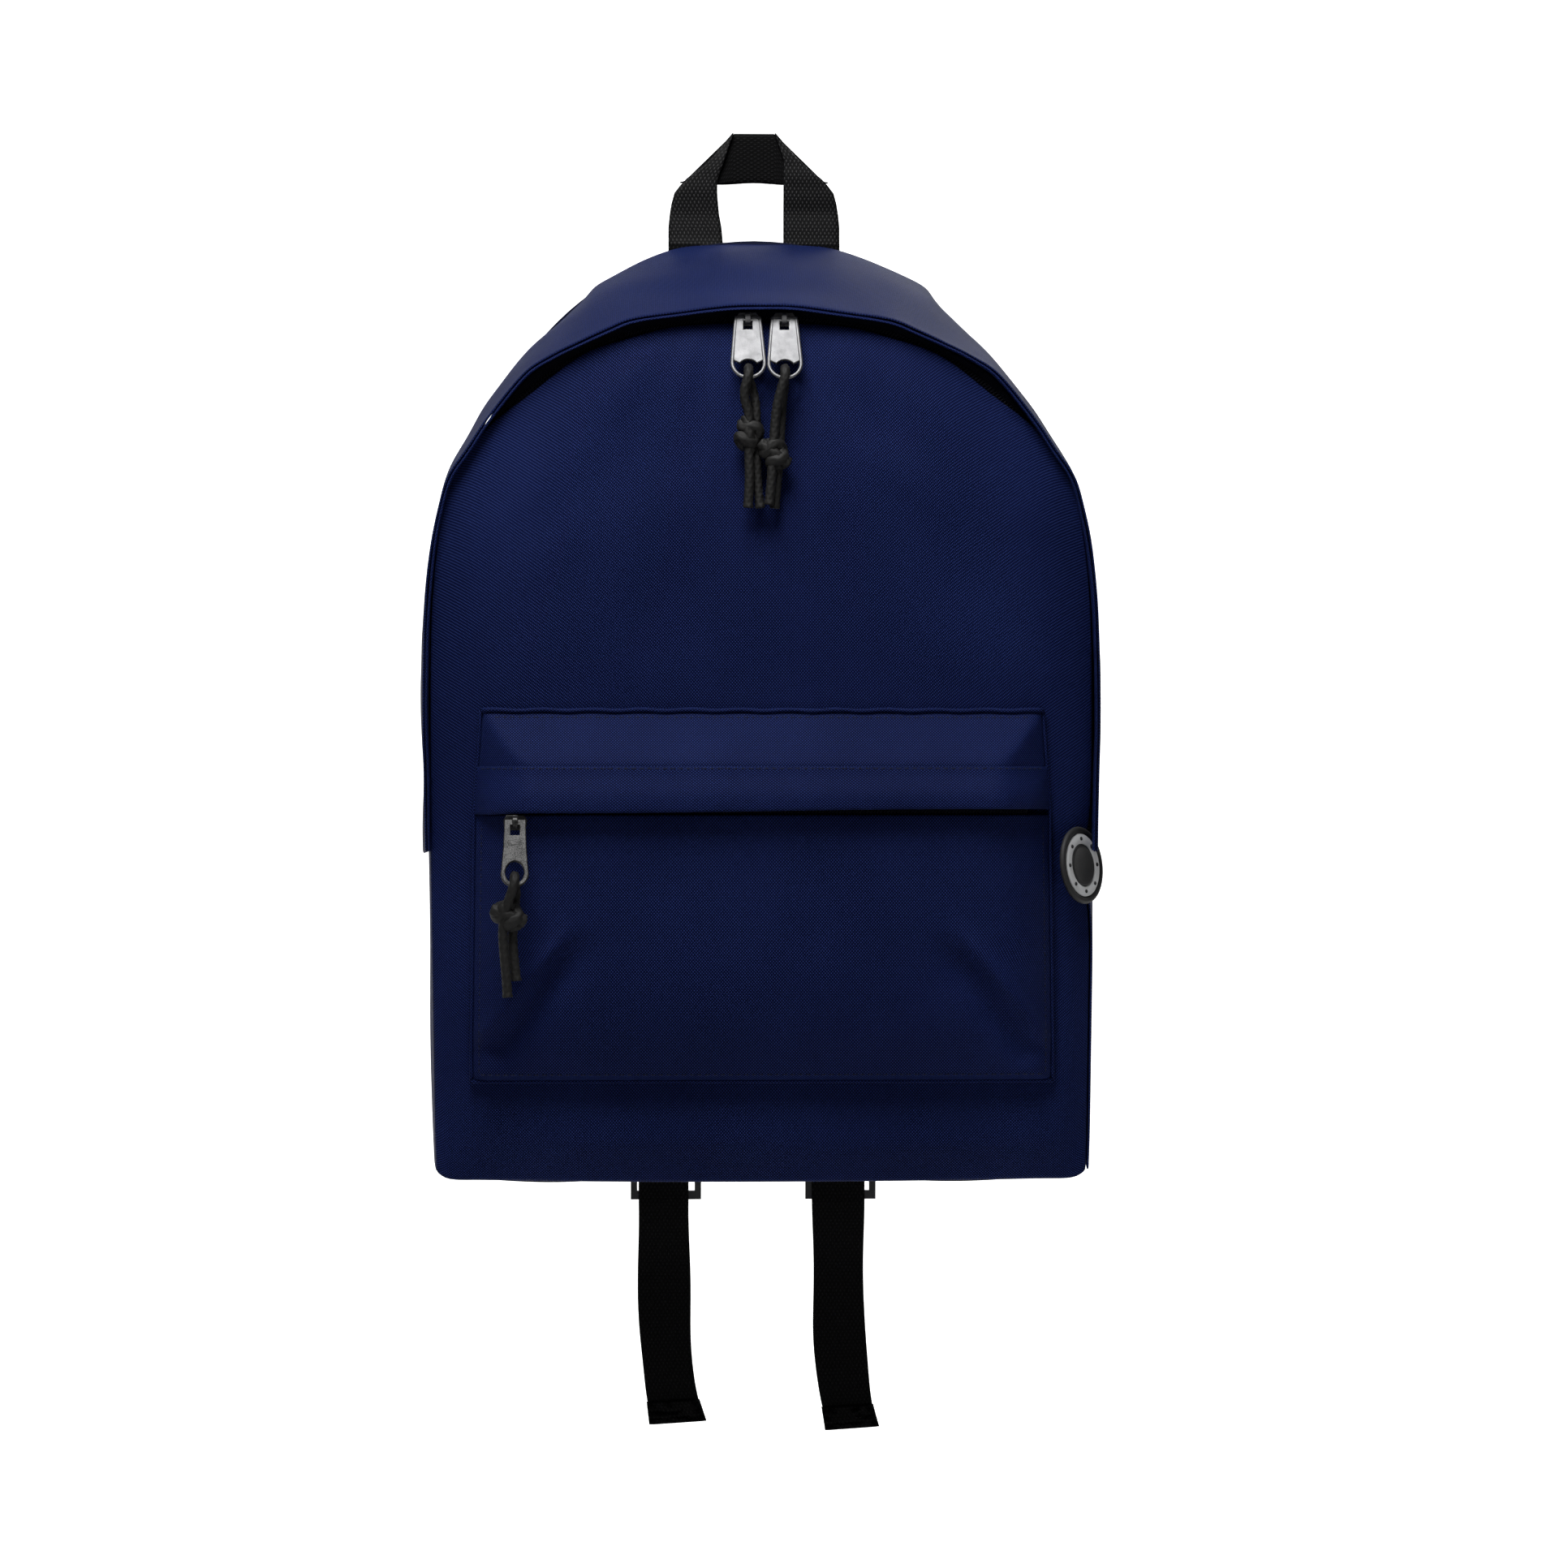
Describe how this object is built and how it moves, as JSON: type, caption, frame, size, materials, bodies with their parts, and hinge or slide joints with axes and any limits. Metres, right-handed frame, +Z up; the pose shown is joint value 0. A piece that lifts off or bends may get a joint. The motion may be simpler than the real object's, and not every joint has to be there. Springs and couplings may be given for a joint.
{
  "type": "school backpack",
  "caption": "School backpack hanging by its handle: arched zip mouth under a rain flap, pleated front pocket, padded straps, cord zip pulls.",
  "frame": {"origin": "the hang point: underside of the middle of the carry handle, where a hook takes it", "axes": "+X to the right seen from the front pocket, +Y from the front pocket towards the wearer's back, +Z up, as the bag hangs"},
  "size_m": [0.2998, 0.2024, 0.6073],
  "materials": {
    "navy_cloth": "plain-woven polyester, matt, dark navy",
    "back_cloth": "plain-woven polyester over foam, dark navy",
    "lining": "thin coated lining, dark",
    "foam": "closed-cell foam board",
    "zip_tape": "woven zip tape, very dark navy",
    "zip_coil": "moulded nylon coil",
    "zip_metal": "satin nickel on die-cast metal",
    "cord_braid": "round braided cord, black",
    "black_webbing": "woven polyester webbing, black",
    "black_plastic": "moulded acetal, black",
    "strap_cloth": "padded polyester, dark navy",
    "badge_rubber": "soft moulded rubber, black",
    "badge_print": "soft moulded rubber, pale grey"
  },
  "bodies": {
    "shell": {"back_outer": "back_cloth", "back_foam": "foam", "back_lining": "lining", "hood": "navy_cloth", "side_panel_left": "navy_cloth", "side_panel_right": "navy_cloth", "base_panel": "navy_cloth", "front_panel": "navy_cloth", "front_seam_band": "navy_cloth", "main_rain_flap": "navy_cloth", "pocket_top_panel": "navy_cloth", "pocket_panel": "navy_cloth", "zip_end_tab_left": "navy_cloth", "zip_end_tab_right": "navy_cloth", "yoke_patch": "navy_cloth", "corner_tab_left": "navy_cloth", "corner_tab_right": "navy_cloth", "zip_tape_hood": "zip_tape", "zip_tape_front": "zip_tape", "pocket_zip_tape_upper": "zip_tape", "pocket_zip_tape_lower": "zip_tape", "zip_coil_hood": "zip_coil", "zip_coil_front": "zip_coil", "pocket_zip_coil_upper": "zip_coil", "pocket_zip_coil_lower": "zip_coil", "badge_base": "badge_rubber", "badge_ring": "badge_print", "badge_centre": "badge_rubber", "handle_ends": "black_webbing", "lower_webbing_left": "black_webbing", "lower_webbing_right": "black_webbing"},
    "pocket_flap_lid": {"pocket_flap": "navy_cloth"},
    "carry_handle": {"handle_webbing": "black_webbing"},
    "zip_slider_left": {"slider_left": "zip_metal"},
    "zip_pull_left": {"pull_left": "zip_metal"},
    "pull_cord_left": {"cord_left": "cord_braid", "knot_left": "cord_braid"},
    "zip_slider_right": {"slider_right": "zip_metal"},
    "zip_pull_right": {"pull_right": "zip_metal"},
    "pull_cord_right": {"cord_right": "cord_braid", "knot_right": "cord_braid"},
    "zip_slider_pocket": {"slider_pocket": "zip_metal"},
    "zip_pull_pocket": {"pull_pocket": "zip_metal"},
    "pull_cord_pocket": {"cord_pocket": "cord_braid", "knot_pocket": "cord_braid"},
    "shoulder_strap_left": {"strap_pad_left": "strap_cloth", "ladder_lock_left": "black_plastic", "lock_holder_left": "black_webbing", "strap_tail_left": "black_webbing"},
    "shoulder_strap_right": {"strap_pad_right": "strap_cloth", "ladder_lock_right": "black_plastic", "lock_holder_right": "black_webbing", "strap_tail_right": "black_webbing"}
  },
  "joints": [
    {"name": "slide_zip_left", "type": "hinge", "parent": "shell", "child": "zip_slider_left", "pos_m": [0, -0.1189, -0.255], "axis": [0, -1, 0], "range_deg": [0, 33]},
    {"name": "lift_pull_left", "type": "hinge", "parent": "zip_slider_left", "child": "zip_pull_left", "pos_m": [-0.00632, -0.1251, -0.07391], "axis": [-1, 0, 0], "range_deg": [0, 95]},
    {"name": "sway_cord_left", "type": "hinge", "parent": "zip_pull_left", "child": "pull_cord_left", "pos_m": [-0.00632, -0.13539, -0.09702], "axis": [0, 1, 0], "range_deg": [0, 33]},
    {"name": "slide_zip_right", "type": "hinge", "parent": "shell", "child": "zip_slider_right", "pos_m": [0, -0.1189, -0.255], "axis": [0, 1, 0], "range_deg": [0, 33]},
    {"name": "lift_pull_right", "type": "hinge", "parent": "zip_slider_right", "child": "zip_pull_right", "pos_m": [0.0098, -0.1251, -0.07407], "axis": [-1, 0, 0], "range_deg": [0, 95]},
    {"name": "sway_cord_right", "type": "hinge", "parent": "zip_pull_right", "child": "pull_cord_right", "pos_m": [0.0098, -0.13539, -0.09718], "axis": [0, -1, 0], "range_deg": [0, 33]},
    {"name": "slide_zip_pocket", "type": "slide", "parent": "shell", "child": "zip_slider_pocket", "axis": [1, 0, 0], "range_m": [0, 0.212]},
    {"name": "lift_pull_pocket", "type": "hinge", "parent": "zip_slider_pocket", "child": "zip_pull_pocket", "pos_m": [-0.1085, -0.1561, -0.2968], "axis": [-1, 0, 0], "range_deg": [0, 95]},
    {"name": "sway_cord_pocket", "type": "hinge", "parent": "zip_pull_pocket", "child": "pull_cord_pocket", "pos_m": [-0.1085, -0.16639, -0.31991], "axis": [0, 1, 0], "range_deg": [-25, 25]},
    {"name": "lift_pocket_flap", "type": "hinge", "parent": "shell", "child": "pocket_flap_lid", "pos_m": [0, -0.1518, -0.2726], "axis": [-1, 0, 0], "range_deg": [0, 95]},
    {"name": "fold_handle", "type": "hinge", "parent": "shell", "child": "carry_handle", "pos_m": [0, 0, -0.0267], "axis": [1, 0, 0], "range_deg": [-70, 70]},
    {"name": "swing_strap_left", "type": "hinge", "parent": "shell", "child": "shoulder_strap_left", "pos_m": [0, 0.0022, -0.071], "axis": [1, 0, 0], "range_deg": [0, 12], "deforming": ["lower_webbing_left"]},
    {"name": "swing_strap_right", "type": "hinge", "parent": "shell", "child": "shoulder_strap_right", "pos_m": [0, 0.0022, -0.071], "axis": [1, 0, 0], "range_deg": [0, 12], "deforming": ["lower_webbing_right"]}
  ],
  "couplings": [
    {"joint": "sway_cord_left", "follows": "slide_zip_left", "ratio": 1},
    {"joint": "sway_cord_right", "follows": "slide_zip_right", "ratio": 1}
  ]
}
